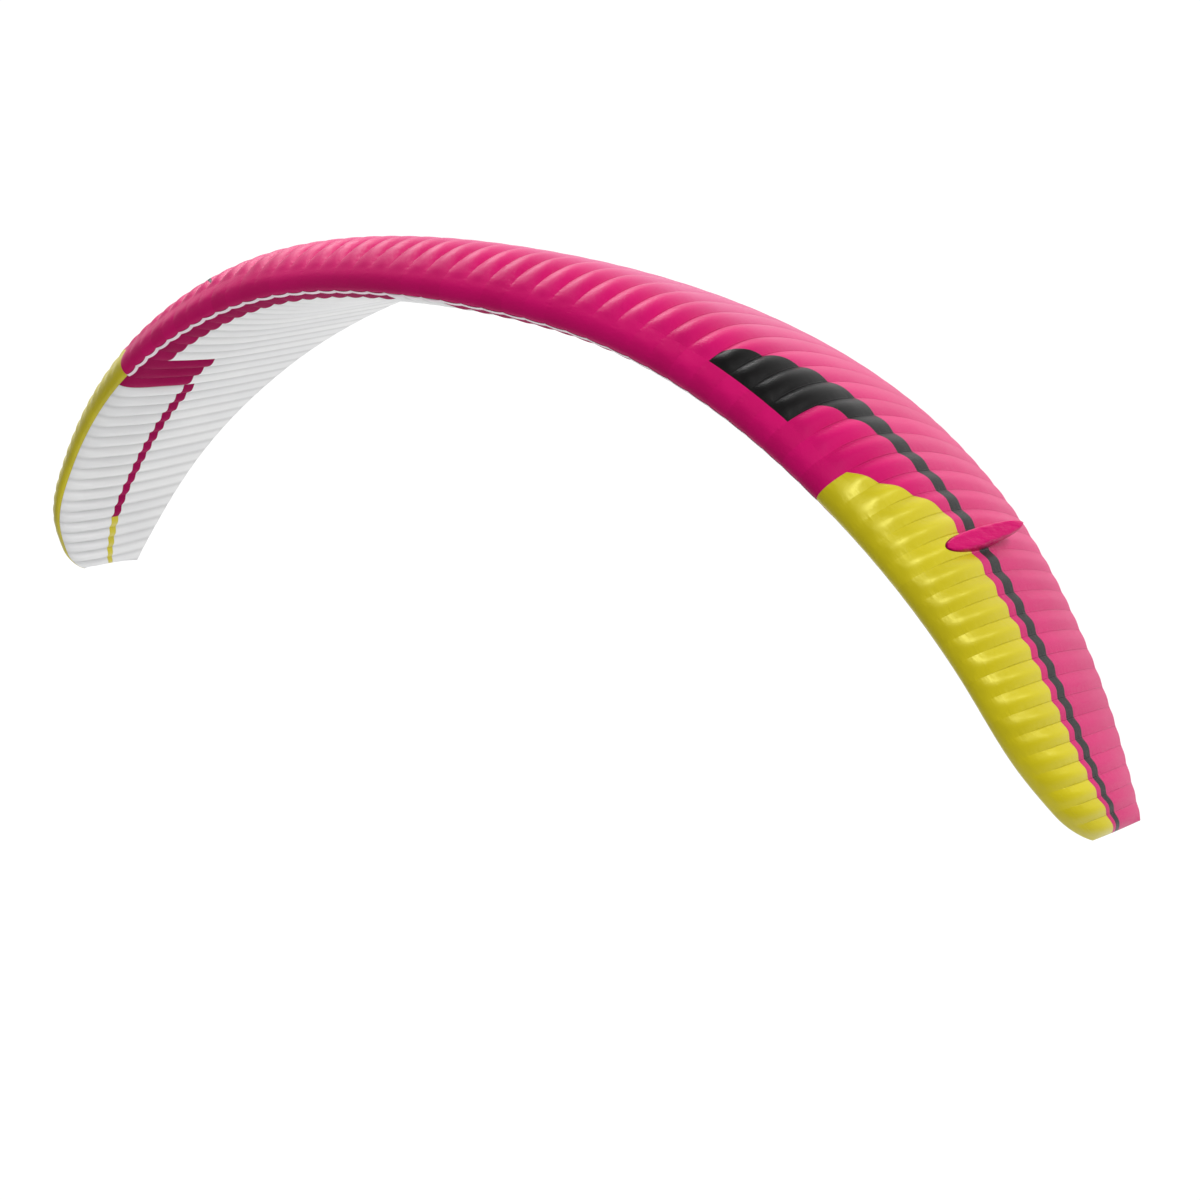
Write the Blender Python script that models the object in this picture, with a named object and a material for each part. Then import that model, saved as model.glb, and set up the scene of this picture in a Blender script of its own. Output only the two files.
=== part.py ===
"""A paraglider wing, inflated and arched as it flies, modelled at its real size.

Two skins of cloth meet round the leading edge, along the trailing edge and at both tips. The wing
has 79 cells side by side: the skins are drawn in at every seam and bulge between the seams. Panels
of one colour are sheets of their own, set a hair apart. +X runs along the span, the leading edge
faces -Y and +Z is up. The origin is the middle of the front line row, on the lower skin.
"""

import math
from collections import namedtuple

import bmesh
import bpy
from mathutils import Vector

# ---- driving sizes, in metres unless a name says otherwise

CELLS = 79
HALF_SPAN = 6.2  # along the cloth, from the middle to a tip
SKIN = 0.002  # thickness of a sheet
GAP = 0.0003  # between two panels
EDGE_HALF_HEIGHT = 0.0025  # half the height over both skins where they are sewn together

# Sections of the wing from the middle to the tip. The share is of the half span, the slope is that
# of the arch in degrees, and the set back is how far the leading edge lies behind the middle's.
Section = namedtuple("Section", "share chord set_back slope")
SECTIONS = (
    Section(0.00, 2.12, 0.00, 0.0),
    Section(0.20, 2.13, 0.08, 8.6),
    Section(0.40, 2.17, 0.16, 23.8),
    Section(0.60, 1.98, 0.27, 38.2),
    Section(0.80, 1.57, 0.50, 53.0),
    Section(0.90, 1.31, 0.68, 59.2),
    Section(1.00, 0.79, 1.12, 60.0),
)

# The cells grow narrower towards the tips: width = 1 - fall * t^2 + ease * t^4 of the middle's.
CELL_FALL = 0.54
CELL_EASE = 0.22

# The rib section: height over chord, camber over chord and its place, nose-down angle of the chord.
RIB_HEIGHT = 0.195
RIB_CAMBER = 0.047
CAMBER_PLACE = 0.28
PITCH_MIDDLE = math.radians(-1.5)
PITCH_TIP_CHANGE = math.radians(-2.0)
TIP_CELL_ROUNDING = 1.5  # cells over which the rib height falls to nothing at the tip
TIP_CORNER = 0.28  # the leading edge turns back at the tip in an arc of this radius
TIP_CORNER_CELLS = 2.0  # over so many cells
TIP_CORNER_TURN = 0.88  # the sine of the arc's turn

# How far a cell bulges out of its seams, over its own width, from the nose (0) to the rear (1). The
# upper skin changes from the first row of values to the tip's over some of its cells.
BULGE_TOP = ((0, 0), (0.045, 0), (0.08, 0.12), (0.12, 0.18), (0.18, 0.20), (0.4, 0.09), (0.65, 0.03), (1, 0.012))
BULGE_TIP = ((0, 0), (0.045, 0), (0.08, 0.11), (0.12, 0.16), (0.18, 0.18), (0.4, 0.12), (0.65, 0.08), (1, 0.030))
BULGE_CHANGE = ((15.0, 0.0), (26.0, 1.0))
BULGE_BELOW = ((0, 0), (0.015, 0), (0.04, 0.03), (0.10, 0.10), (0.25, 0.15), (0.6, 0.09), (0.85, 0.05), (1, 0.015))

# Seams that run along the span, as shares of the chord.
NOSE_BELOW = 0.015
BAND_BELOW = ((1.5, 0.070), (18.5, 0.110))  # rear edge of the lower band: (cells out, share)
NOSE_TOP = 0.05
STRIPE_BELOW_FRONT = ((21.5, 0.36), (30.5, 0.44), (39.5, 0.47))
STRIPE_BELOW_REAR = ((21.5, 0.42), (30.5, 0.50), (39.5, 0.54))
STRIPE_TOP = (0.335, 0.41)
YELLOW_TOP = ((20.5, 0.065), (21.5, 0.12), (23.5, 0.28), (39.5, 0.28))

# Seams that run along the chord, counted in cells from the middle.
FRONT_GAP_END = 1.5
MIDDLE_END = 6.5
BAND_MIDDLE = 10.5
BAND_START = 13.5
BAND_TAPER = 17.5
BLOCK_START = 18.5
TIP_START = 20.5
BLOCK_END = 21.5
TIP_MIDDLE = 30.5
STRIPE_CHANGE = 34.5
TIP = CELLS / 2

# The dark band on the upper skin starts at the nose seam and tapers to a stripe from its outer end.
BAND_TOP_REAR = ((BAND_START, 0.10), (15.5, 0.26), (BAND_TAPER, 0.36), (22.5, STRIPE_TOP[1]))
TAPER_TOP_FRONT = ((BAND_START, 0.09), (14.5, 0.15), (BAND_TAPER, 0.16), (19.5, 0.28), (22.5, STRIPE_TOP[0]))

# The fins: small inflated blades that lean far back, each on the crown of a cell.
FIN_CELL = 25.0  # cells from the middle
FIN_HEIGHT = 0.19
FIN_THICKNESS = 0.13
FIN_WIDEST = 0.38  # of its length from the front
FIN_ROOT = (0.16, 0.57)  # from and to, as shares of the chord
FIN_SWEEP = 0.70  # metres from the front of the root back to the front of the tip
FIN_TIP_LENGTH = 0.04
FIN_LIFT = 0.0012  # clear of the cloth
FIN_LEVELS = 6
FIN_STATIONS = 10  # along the blade

LINE_ROW = 0.10  # share of the chord where the front lines are sewn on

COLORS = {  # linear colour, roughness
    "pink_cloth": ((0.600, 0.008, 0.125), 0.45),
    "yellow_cloth": ((0.590, 0.520, 0.016), 0.45),
    "dark_cloth": ((0.020, 0.018, 0.019), 0.50),
    "white_cloth": ((0.720, 0.720, 0.720), 0.60),
    "magenta_cloth": ((0.270, 0.006, 0.065), 0.55),
    "fin_cloth": ((0.480, 0.006, 0.095), 0.45),
}


# ---- the shape of the wing


def along_table(table, at):
    """The value at a place in a table of (place, value) rows, in straight runs between them."""
    if at <= table[0][0]:
        return table[0][1]
    for (left, low), (right, high) in zip(table, table[1:]):
        if at <= right:
            return low + (high - low) * (at - left) / (right - left)
    return table[-1][1]


def section_value(column, share):
    """A smooth curve through one column of the sections. The slope runs on through the middle."""
    odd = column == "slope"
    rows = [(row.share, getattr(row, column)) for row in SECTIONS]
    first_place, first_value = rows[1]
    rows.insert(0, (-first_place, -first_value if odd else first_value))
    last_place, last_value = rows[-1]
    before_place, before_value = rows[-2]
    rows.append((2 * last_place - before_place, 2 * last_value - before_value))
    for i in range(1, len(rows) - 2):
        (x0, y0), (x1, y1), (x2, y2), (x3, y3) = rows[i - 1 : i + 3]
        if share <= x2 or i == len(rows) - 3:
            break
    step = x2 - x1
    rise_in = (y2 - y0) / (x2 - x0) * step
    rise_out = (y3 - y1) / (x3 - x1) * step
    t = (share - x1) / step
    return (
        (2 * t**3 - 3 * t**2 + 1) * y1
        + (t**3 - 2 * t**2 + t) * rise_in
        + (3 * t**2 - 2 * t**3) * y2
        + (t**3 - t**2) * rise_out
    )


ARCH_STEPS = 400


def arch_line():
    """Points of the arch seen from the front, stepped along the cloth: (out, up)."""
    step = HALF_SPAN / ARCH_STEPS
    line = [(0.0, 0.0)]
    for i in range(ARCH_STEPS):
        slope = math.radians(section_value("slope", (i + 0.5) / ARCH_STEPS))
        out, up = line[-1]
        line.append((out + step * math.cos(slope), up - step * math.sin(slope)))
    return line


ARCH = arch_line()


def arch_point(share):
    """Out and up on the arch at a share of the half span."""
    place = min(share, 1.0) * ARCH_STEPS
    low = min(int(place), ARCH_STEPS - 1)
    (out0, up0), (out1, up1) = ARCH[low], ARCH[low + 1]
    t = place - low
    return out0 + (out1 - out0) * t, up0 + (up1 - up0) * t


def share_of(cells_out):
    """The share of the half span that so many cells from the middle reach."""
    t = abs(cells_out) / TIP
    whole = 1 - CELL_FALL / 3 + CELL_EASE / 5
    return (t - CELL_FALL * t**3 / 3 + CELL_EASE * t**5 / 5) / whole


def cell_width(cells_out):
    middle = max(0.5, abs(cells_out))
    return HALF_SPAN * (share_of(middle + 0.5) - share_of(middle - 0.5))


def rib_point(around):
    """Back and up on the rib section, over its chord. Around is 0 at the nose and its square is the
    share of the chord, with a minus sign on the lower skin."""
    x = around * around
    root = abs(around)
    half = 5 * RIB_HEIGHT * (0.2969 * root - 0.1260 * x - 0.3516 * x**2 + 0.2843 * x**3 - 0.1036 * x**4)
    if x < CAMBER_PLACE:
        camber = RIB_CAMBER / CAMBER_PLACE**2 * (2 * CAMBER_PLACE * x - x * x)
    else:
        behind = 1 - CAMBER_PLACE
        camber = RIB_CAMBER / behind**2 * ((1 - 2 * CAMBER_PLACE) + 2 * CAMBER_PLACE * x - x * x)
    return x, camber, math.copysign(half, around)


def seam_point(cells_out, around):
    """A point of the wing's smooth shape through its seams, before the cells bulge."""
    side = -1 if cells_out < 0 else 1
    share = share_of(cells_out)
    out, up = arch_point(share)
    slope = math.radians(section_value("slope", share))
    left = TIP - abs(cells_out)
    turn = TIP_CORNER_TURN * max(0.0, 1 - left / TIP_CORNER_CELLS)
    corner = TIP_CORNER * (1 - math.sqrt(1 - turn * turn))
    chord = section_value("chord", share) - corner
    back, camber, half = rib_point(around)
    closing = math.sqrt(max(0.0, 1 - (1 - min(1.0, left / TIP_CELL_ROUNDING)) ** 2))
    height = (camber + half * closing) * chord + EDGE_HALF_HEIGHT * math.tanh(around / 0.06)
    pitch = PITCH_MIDDLE + PITCH_TIP_CHANGE * share**2
    y = section_value("set_back", share) + corner + back * chord * math.cos(pitch) + height * math.sin(pitch)
    rise = height * math.cos(pitch) - back * chord * math.sin(pitch)
    return Vector((side * (out + rise * math.sin(slope)), y, up + rise * math.cos(slope)))


def along_cloth(cells_out, around):
    """The directions out along the span and from the lower rear edge round the nose to the upper."""
    step = 0.02
    inner, outer = max(-TIP, cells_out - step), min(TIP, cells_out + step)
    front, rear = max(-1.0, around - step / 4), min(1.0, around + step / 4)
    spanwise = seam_point(outer, around) - seam_point(inner, around)
    chordwise = seam_point(cells_out, rear) - seam_point(cells_out, front)
    return spanwise.normalized(), chordwise.normalized()


def outward(cells_out, around):
    """The direction that faces out of the wing, square to its smooth shape."""
    spanwise, chordwise = along_cloth(cells_out, around)
    return spanwise.cross(chordwise).normalized()


def bulge(cells_out, around):
    """How far the cloth stands out of its seams at this place."""
    within = abs(cells_out) % 1.0  # 0.5 at a seam, 0 in the middle of a cell
    within = min(within, 1.0 - within)
    share = around * around
    if around >= 0:
        tip = along_table(BULGE_CHANGE, abs(cells_out))
        full = along_table(BULGE_TOP, share) * (1 - tip) + along_table(BULGE_TIP, share) * tip
    else:
        full = along_table(BULGE_BELOW, share)
    return cell_width(cells_out) * full * (1 - (2 * within) ** 2)


ORIGIN = seam_point(0, -math.sqrt(LINE_ROW)) + outward(0, -math.sqrt(LINE_ROW)) * bulge(
    0, -math.sqrt(LINE_ROW)
)


# ---- building


for old in list(bpy.data.objects):
    bpy.data.objects.remove(old, do_unlink=True)

collection = bpy.data.collections.new("paraglider_wing")
bpy.context.scene.collection.children.link(collection)
wing = bpy.data.objects.new("paraglider_wing_origin", None)
collection.objects.link(wing)

materials = {}
for material_name, (color, roughness) in COLORS.items():
    material = bpy.data.materials.new(material_name)
    material.use_nodes = True
    surface = material.node_tree.nodes["Principled BSDF"]
    surface.inputs["Base Color"].default_value = (*color, 1)
    surface.inputs["Roughness"].default_value = roughness
    surface.inputs["Metallic"].default_value = 0
    materials[material_name] = material


def add_solid(name, mesh, material_name):
    solid = bpy.data.objects.new(name, mesh)
    solid.data.materials.append(materials[material_name])
    collection.objects.link(solid)
    solid.parent = wing


def around_of(share_of_chord, below):
    return -math.sqrt(share_of_chord) if below else math.sqrt(share_of_chord)


def add_panel(name, start, end, front, rear, strips, material_name):
    """A sheet between two seams along the chord (start, end, in cells) and two along the span.
    Front and rear give the place round the rib at so many cells from the middle."""
    columns = int(round((end - start) * 2)) + 1
    rows = strips + 1
    outer, normal = [], []
    for i in range(rows):
        outer.append([])
        normal.append([])
        for j in range(columns):
            cells_out = start + j / 2
            a, b = front(abs(cells_out)), rear(abs(cells_out))
            around = a + (b - a) * i / strips
            facing = outward(cells_out, around)
            spanwise, chordwise = along_cloth(cells_out, around)
            point = seam_point(cells_out, around) + facing * bulge(cells_out, around) - ORIGIN
            if j in (0, columns - 1):
                point += spanwise * (GAP / 2 if j == 0 else -GAP / 2)
            if i in (0, strips):
                point += chordwise * (GAP / 2 if i == 0 else -GAP / 2)
            outer[i].append(point)
            normal[i].append(facing)
    mesh = bmesh.new()
    top = [[mesh.verts.new(point) for point in row] for row in outer]
    inside = [
        [mesh.verts.new(outer[i][j] - normal[i][j] * SKIN) for j in range(columns)] for i in range(rows)
    ]
    for i in range(strips):
        for j in range(columns - 1):
            for skin, facing_out in ((top, True), (inside, False)):
                a, b = skin[i][j], skin[i][j + 1]
                c, d = skin[i + 1][j + 1], skin[i + 1][j]
                halves = ((a, b, c), (a, c, d)) if (j + int(round(start * 2))) % 2 else ((a, b, d), (b, c, d))
                for half in halves:
                    mesh.faces.new(half if facing_out else half[::-1])
    rim = [(0, j) for j in range(columns)] + [(i, columns - 1) for i in range(1, rows)]
    rim += [(strips, j) for j in range(columns - 2, -1, -1)] + [(i, 0) for i in range(strips - 1, 0, -1)]
    for (i0, j0), (i1, j1) in zip(rim, rim[1:] + rim[:1]):
        low, high = inside[i0][j0], inside[i1][j1]
        over_low, over_high = top[i0][j0], top[i1][j1]
        # Split each wall the same way as the wall that faces it across the seam.
        if (abs(start + j0 / 2), i0) < (abs(start + j1 / 2), i1):
            halves = ((low, high, over_high), (low, over_high, over_low))
        else:
            halves = ((low, high, over_low), (high, over_high, over_low))
        for half in halves:
            mesh.faces.new(half)
    bmesh.ops.recalc_face_normals(mesh, faces=mesh.faces)
    data = bpy.data.meshes.new(name)
    mesh.to_mesh(data)
    mesh.free()
    add_solid(name, data, material_name)


def line(place, below=False):
    """A seam along the span: a share of the chord, or a table of (cells from the middle, share)."""
    if isinstance(place, tuple):
        return lambda cells_out: around_of(along_table(place, cells_out), below)
    return lambda cells_out: around_of(place, below)


nose_below = line(NOSE_BELOW, below=True)
band_below = line(BAND_BELOW, below=True)
stripe_below_front = line(STRIPE_BELOW_FRONT, below=True)
stripe_below_rear = line(STRIPE_BELOW_REAR, below=True)
rear_below = line(1.0, below=True)
nose_top = line(NOSE_TOP)
yellow_top = line(YELLOW_TOP)
taper_top_front = line(TAPER_TOP_FRONT)
band_top_rear = line(BAND_TOP_REAR)
rear_top = line(1.0)

Panel = namedtuple("Panel", "name start end front rear strips cloth")

# Panels that lie across the middle.
MIDDLE_PANELS = (
    Panel("nose_middle", -MIDDLE_END, MIDDLE_END, nose_below, nose_top, 4, "pink_cloth"),
    Panel("top_middle", -MIDDLE_END, MIDDLE_END, nose_top, rear_top, 7, "pink_cloth"),
    Panel("below_front_middle", -FRONT_GAP_END, FRONT_GAP_END, band_below, nose_below, 1, "white_cloth"),
    Panel("below_middle", -MIDDLE_END, MIDDLE_END, rear_below, band_below, 4, "white_cloth"),
)

# Panels of one half, from the middle outwards. The other half mirrors them.
HALF_PANELS = (
    Panel("nose_inner", MIDDLE_END, BAND_START, nose_below, nose_top, 4, "pink_cloth"),
    Panel("nose_outer", BAND_START, TIP_START, nose_below, nose_top, 4, "pink_cloth"),
    Panel("nose_tip_inner", TIP_START, TIP_MIDDLE, nose_below, nose_top, 4, "yellow_cloth"),
    Panel("nose_tip_outer", TIP_MIDDLE, TIP, nose_below, nose_top, 4, "yellow_cloth"),
    Panel("top_inner", MIDDLE_END, BAND_START, nose_top, rear_top, 7, "pink_cloth"),
    Panel("top_front_outer", BAND_TAPER, TIP_START, nose_top, taper_top_front, 3, "pink_cloth"),
    Panel("top_yellow_inner", TIP_START, TIP_MIDDLE, nose_top, yellow_top, 3, "yellow_cloth"),
    Panel("top_yellow_outer", TIP_MIDDLE, TIP, nose_top, yellow_top, 3, "yellow_cloth"),
    Panel("top_strip_inner", TIP_START, TIP_MIDDLE, yellow_top, taper_top_front, 1, "pink_cloth"),
    Panel("top_strip_outer", TIP_MIDDLE, TIP, yellow_top, taper_top_front, 1, "pink_cloth"),
    Panel("band_top", BAND_START, BAND_TAPER, nose_top, band_top_rear, 4, "dark_cloth"),
    Panel("stripe_top", BAND_TAPER, TIP, taper_top_front, band_top_rear, 1, "dark_cloth"),
    Panel("top_rear_outer", BAND_START, TIP_START, band_top_rear, rear_top, 4, "pink_cloth"),
    Panel("top_rear_tip_inner", TIP_START, TIP_MIDDLE, band_top_rear, rear_top, 3, "pink_cloth"),
    Panel("top_rear_tip_outer", TIP_MIDDLE, TIP, band_top_rear, rear_top, 3, "pink_cloth"),
    Panel("band_below_inner", FRONT_GAP_END, BAND_MIDDLE, band_below, nose_below, 1, "magenta_cloth"),
    Panel("band_below_outer", BAND_MIDDLE, BLOCK_START, band_below, nose_below, 1, "magenta_cloth"),
    Panel("block_below", BLOCK_START, BLOCK_END, stripe_below_front, nose_below, 3, "magenta_cloth"),
    Panel("below_inner", MIDDLE_END, BAND_START, rear_below, band_below, 4, "white_cloth"),
    Panel("below_outer", BAND_START, BLOCK_START, rear_below, band_below, 4, "white_cloth"),
    Panel("below_behind_block", BLOCK_START, BLOCK_END, rear_below, stripe_below_front, 2, "white_cloth"),
    Panel("below_front_inner", BLOCK_END, TIP_MIDDLE, stripe_below_front, nose_below, 3, "white_cloth"),
    Panel("below_front_outer", TIP_MIDDLE, TIP, stripe_below_front, nose_below, 3, "white_cloth"),
    Panel("stripe_below", BLOCK_END, STRIPE_CHANGE, stripe_below_rear, stripe_below_front, 1, "magenta_cloth"),
    Panel("stripe_below_tip", STRIPE_CHANGE, TIP, stripe_below_rear, stripe_below_front, 1, "yellow_cloth"),
    Panel("below_rear_inner", BLOCK_END, TIP_MIDDLE, rear_below, stripe_below_rear, 2, "white_cloth"),
    Panel("below_rear_outer", TIP_MIDDLE, TIP, rear_below, stripe_below_rear, 2, "white_cloth"),
)

# On the left the band's front edge lies further back, so the pink ahead of it is longer.
LEFT_CHANGES = {
    "top_front_outer": {"start": BAND_START},
    "band_top": {"front": taper_top_front, "strips": 3},
}

for panel in MIDDLE_PANELS:
    add_panel(*panel[:5], panel.strips, panel.cloth)
for panel in HALF_PANELS:
    add_panel(f"{panel.name}_right", panel.start, panel.end, *panel[3:])
    left_panel = panel._replace(**LEFT_CHANGES.get(panel.name, {}))
    add_panel(f"{panel.name}_left", -left_panel.end, -left_panel.start, *left_panel[3:])


def add_fin(name, side):
    """An inflated blade: leaf-shaped sections that shrink and lean back as they rise."""
    chord = section_value("chord", share_of(FIN_CELL))
    facing = outward(side * FIN_CELL, math.sqrt(sum(FIN_ROOT) / 2))
    back = Vector((0, 1, 0))
    across = back.cross(facing).normalized()

    def foot(along, sideways):
        """On the cloth: along from 0 at the front of the root to 1, sideways in metres."""
        around = math.sqrt(FIN_ROOT[0] + along * (FIN_ROOT[1] - FIN_ROOT[0]))
        cells_out = side * FIN_CELL + sideways / cell_width(FIN_CELL)
        stand = bulge(cells_out, around) + FIN_LIFT
        return seam_point(cells_out, around) + outward(cells_out, around) * stand - ORIGIN

    def half_thickness(along, rise):
        """Round at the front and pointed at the rear."""
        if along < FIN_WIDEST:
            leaf = math.sqrt(1 - (1 - along / FIN_WIDEST) ** 2)
        else:
            leaf = 1 - ((along - FIN_WIDEST) / (1 - FIN_WIDEST)) ** 2
        return FIN_THICKNESS / 2 * leaf * math.sqrt(1 - 0.97 * rise * rise)

    mesh = bmesh.new()
    stations = [(1 - math.cos(math.pi * i / FIN_STATIONS)) / 2 for i in range(FIN_STATIONS + 1)]
    rings = []
    for level in range(FIN_LEVELS):
        rise = level / (FIN_LEVELS - 1)
        tip_front = foot(0, 0) + facing * FIN_HEIGHT * rise + back * FIN_SWEEP * rise**1.15
        ring = []
        for i in list(range(FIN_STATIONS + 1)) + list(range(FIN_STATIONS - 1, 0, -1)):
            wide = half_thickness(stations[i], rise) * (1 if len(ring) <= FIN_STATIONS else -1)
            if level == 0:
                ring.append(mesh.verts.new(foot(stations[i], wide)))
                continue
            middle = foot(stations[i], 0) - foot(0, 0)
            length = back * (stations[i] * FIN_TIP_LENGTH)
            ring.append(mesh.verts.new(tip_front + middle * (1 - rise**1.4) + length * rise + across * wide))
        rings.append(ring)
    around_ring = 2 * FIN_STATIONS
    for lower, upper in zip(rings, rings[1:]):
        for k in range(around_ring):
            n = (k + 1) % around_ring
            mesh.faces.new((lower[k], lower[n], upper[n], upper[k]))
    top = rings[-1]
    for k in range(FIN_STATIONS):
        back_k = (around_ring - k) % around_ring
        mesh.faces.new(list(dict.fromkeys((top[k], top[k + 1], top[around_ring - k - 1], top[back_k]))))
    crown = [rings[0][0]] + [mesh.verts.new(foot(s, 0)) for s in stations[1:-1]] + [rings[0][FIN_STATIONS]]
    for k in range(FIN_STATIONS):
        for edge in (rings[0], [rings[0][(around_ring - i) % around_ring] for i in range(FIN_STATIONS + 1)]):
            mesh.faces.new(list(dict.fromkeys((edge[k], edge[k + 1], crown[k + 1], crown[k]))))
    bmesh.ops.recalc_face_normals(mesh, faces=mesh.faces)
    data = bpy.data.meshes.new(name)
    mesh.to_mesh(data)
    mesh.free()
    add_solid(name, data, "fin_cloth")


add_fin("fin_right", 1)
add_fin("fin_left", -1)
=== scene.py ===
"""A paraglider wing, inflated and arched as it flies: pink, yellow, dark and white ripstop cloth.

Each section sews the panels of one colour, or makes one kind of piece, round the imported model.
"""

import math

import bmesh
import bpy
import numpy as np
from mathutils import Matrix, Vector


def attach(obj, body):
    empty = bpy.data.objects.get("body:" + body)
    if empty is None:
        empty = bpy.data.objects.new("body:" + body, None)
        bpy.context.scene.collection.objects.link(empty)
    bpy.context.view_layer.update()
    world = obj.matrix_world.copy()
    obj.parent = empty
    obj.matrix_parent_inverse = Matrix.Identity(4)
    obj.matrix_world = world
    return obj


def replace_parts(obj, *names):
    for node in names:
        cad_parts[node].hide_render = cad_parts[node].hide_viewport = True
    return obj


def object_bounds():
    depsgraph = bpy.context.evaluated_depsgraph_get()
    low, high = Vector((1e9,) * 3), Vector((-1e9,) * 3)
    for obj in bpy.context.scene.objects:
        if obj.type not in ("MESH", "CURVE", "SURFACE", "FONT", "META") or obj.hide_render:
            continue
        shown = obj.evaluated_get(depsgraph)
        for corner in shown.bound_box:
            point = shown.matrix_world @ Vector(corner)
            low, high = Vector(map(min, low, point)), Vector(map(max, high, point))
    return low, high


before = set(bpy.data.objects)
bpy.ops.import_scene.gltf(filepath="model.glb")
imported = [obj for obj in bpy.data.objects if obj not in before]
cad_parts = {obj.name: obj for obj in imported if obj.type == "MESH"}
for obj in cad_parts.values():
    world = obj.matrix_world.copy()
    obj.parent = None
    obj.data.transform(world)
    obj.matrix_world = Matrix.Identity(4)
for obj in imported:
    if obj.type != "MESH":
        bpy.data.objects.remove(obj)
cad_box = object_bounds()


# ---- Leading edge, pink
# The nose is a smooth band of coated ripstop nylon. It wraps from the lower seam round the front to
# where the cells start to bulge, cut cell by cell, sewn to the ribs and held round by bent rods.

CELLS = 79
TIP = CELLS / 2  # cells from the middle to a tip
HALF_SPAN = 6.2  # metres along the cloth
CLOTH = 0.0015  # thickness as modelled
GAP = 0.0003  # between two panels
EDGE_HALF_HEIGHT = 0.0025  # half the height over both skins where they are sewn together
EDGE_REACH = 0.06  # how soon round the rib from the nose that height is there
PER_CELL = 12  # strips of the mesh across a cell
MIDDLE_END, BAND_START, TIP_START, TIP_MIDDLE = 6.5, 13.5, 20.5, 30.5  # seams, cells from the middle

SECTIONS = np.array(
    [
        (0.00, 2.12, 0.00, 0.0),
        (0.20, 2.13, 0.08, 8.6),
        (0.40, 2.17, 0.16, 23.8),
        (0.60, 1.98, 0.27, 38.2),
        (0.80, 1.57, 0.50, 53.0),
        (0.90, 1.31, 0.68, 59.2),
        (1.00, 0.79, 1.12, 60.0),
    ],
    dtype=[("share", float), ("chord", float), ("set_back", float), ("slope", float)],
)
CELL_FALL, CELL_EASE = 0.54, 0.22  # how the cells narrow towards the tips
RIB_HEIGHT, RIB_CAMBER, CAMBER_PLACE = 0.195, 0.047, 0.28  # over the chord
PITCH_MIDDLE, PITCH_TIP_CHANGE = math.radians(-1.5), math.radians(-2.0)
TIP_CELL_ROUNDING = 1.5  # cells over which the two skins come together at the tip
TIP_CORNER, TIP_CORNER_CELLS, TIP_CORNER_TURN = 0.28, 2.0, 0.88  # the front corner's arc at the tip
ARCH_STEPS, RIB_STEPS = 400, 400  # for adding up lengths along the arch and round the rib


def cubic(t, step, value, rise, next_value, next_rise):
    """The cubic between two values with their rises. T goes from 0 to 1 over the step."""
    return (
        (2 * t**3 - 3 * t**2 + 1) * value
        + (t**3 - 2 * t**2 + t) * rise * step
        + (3 * t**2 - 2 * t**3) * next_value
        + (t**3 - t**2) * next_rise * step
    )


def along_sections(column, share):
    """A smooth curve through one column of the sections. Past the middle it runs on as its mirror
    image, where the arch's slope changes sign."""
    sign = -1 if column == "slope" else 1
    places, values = SECTIONS["share"], SECTIONS[column]
    places = np.concatenate(([-places[1]], places, [2 * places[-1] - places[-2]]))
    values = np.concatenate(([sign * values[1]], values, [2 * values[-1] - values[-2]]))
    rises = (values[2:] - values[:-2]) / (places[2:] - places[:-2])
    k = np.clip(np.searchsorted(SECTIONS["share"], share) - 1, 0, len(SECTIONS) - 2)
    step = places[k + 2] - places[k + 1]
    t = (share - places[k + 1]) / step
    return cubic(t, step, values[k + 1], rises[k], values[k + 2], rises[k + 1])


arch_slopes = np.radians(along_sections("slope", (np.arange(ARCH_STEPS) + 0.5) / ARCH_STEPS))
arch_places = np.linspace(0, 1, ARCH_STEPS + 1)
arch_out = np.concatenate(([0], np.cumsum(np.cos(arch_slopes)))) * HALF_SPAN / ARCH_STEPS
arch_up = -np.concatenate(([0], np.cumsum(np.sin(arch_slopes)))) * HALF_SPAN / ARCH_STEPS


def share_of(cells):
    """The share of the half span that so many cells from the middle reach."""
    t = np.abs(cells) / TIP
    whole = 1 - CELL_FALL / 3 + CELL_EASE / 5
    return (t - CELL_FALL * t**3 / 3 + CELL_EASE * t**5 / 5) / whole


def cell_width(cells):
    """Metres across a cell whose middle is at this place."""
    middle = np.maximum(0.5, np.abs(cells))
    return HALF_SPAN * (share_of(middle + 0.5) - share_of(middle - 0.5))


def rib(around):
    """Back, camber and half height on the rib section, over its chord. Around is 0 at the nose and
    its square is the share of the chord, with a minus sign on the lower skin. The half height is
    the polynomial that is common for wing sections."""
    x, root = around**2, np.abs(around)
    half = 5 * RIB_HEIGHT * (0.2969 * root - 0.1260 * x - 0.3516 * x**2 + 0.2843 * x**3 - 0.1036 * x**4)
    ahead = RIB_CAMBER / CAMBER_PLACE**2 * (2 * CAMBER_PLACE * x - x * x)
    fall = (1 - 2 * CAMBER_PLACE) + 2 * CAMBER_PLACE * x - x * x
    behind = RIB_CAMBER / (1 - CAMBER_PLACE) ** 2 * fall
    return x, np.where(x < CAMBER_PLACE, ahead, behind), np.copysign(half, around)


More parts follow.
